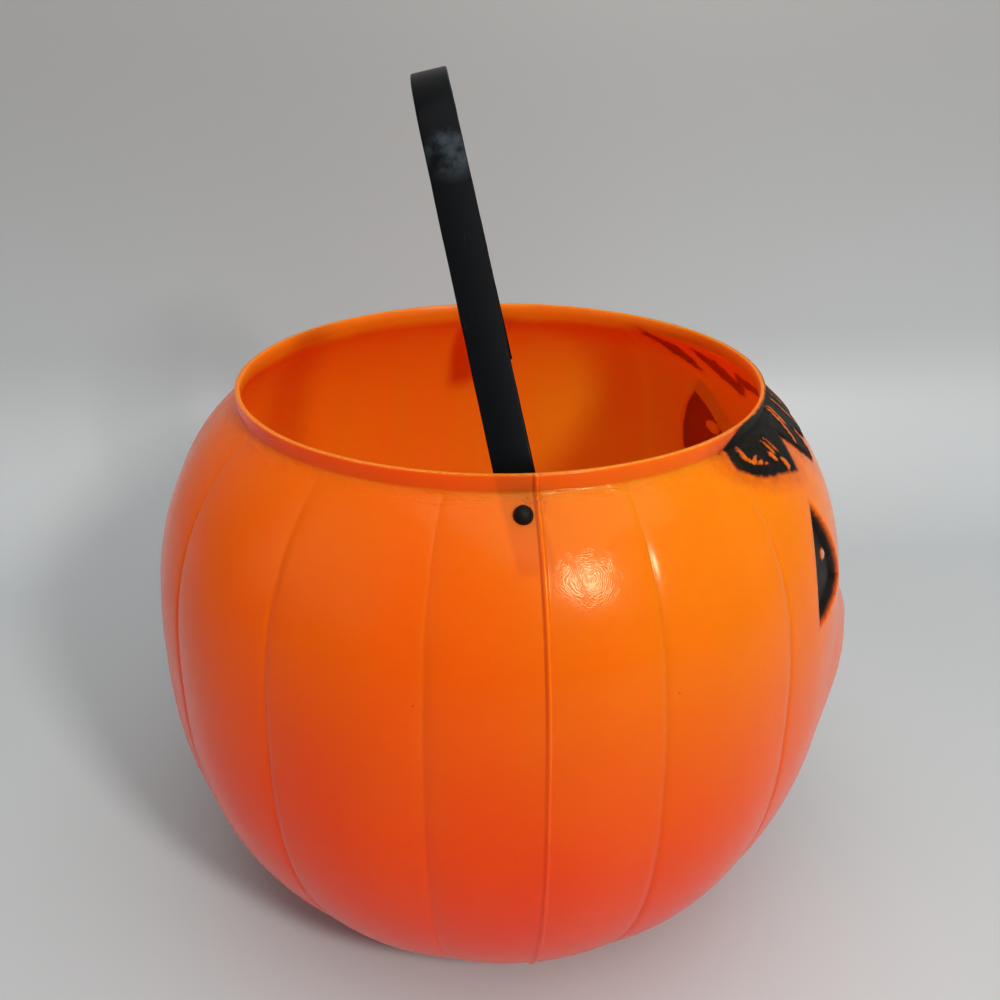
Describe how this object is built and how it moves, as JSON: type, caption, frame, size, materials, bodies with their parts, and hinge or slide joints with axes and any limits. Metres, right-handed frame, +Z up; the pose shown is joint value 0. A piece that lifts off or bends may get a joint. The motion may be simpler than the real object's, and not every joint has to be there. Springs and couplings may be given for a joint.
{
  "type": "candy pail",
  "caption": "Round ribbed plastic jack-o'-lantern candy pail with an upright collar, a moulded pumpkin face and a flat strap handle that swings on studs.",
  "frame": {"origin": "middle of the flat base, on the surface that the pail stands on", "axes": "+Z up through the mouth, the face looks along -Y, and the handle's pivot line runs along X, turned 3.3 degrees about Z"},
  "size_m": [0.201, 0.2111, 0.2393],
  "materials": {
    "pail_plastic": "blow-moulded orange polyethylene, satin to glossy, with black airbrushed eyes, mouth and leaf fringe",
    "strap_plastic": "black moulded plastic strap, satin, lightly scuffed",
    "stud_plastic": "black moulded plastic, dull"
  },
  "bodies": {
    "pail": {"pail_shell": "pail_plastic", "left_rivet": "stud_plastic", "right_rivet": "stud_plastic"},
    "handle": {"handle_strap": "strap_plastic"}
  },
  "joints": [
    {"name": "handle_swing", "type": "hinge", "parent": "pail", "child": "handle", "pos_m": [0, -0.00085, 0.1516], "axis": [0.9983, -0.0576, 0], "range_deg": [-66.4, 90.3]}
  ]
}
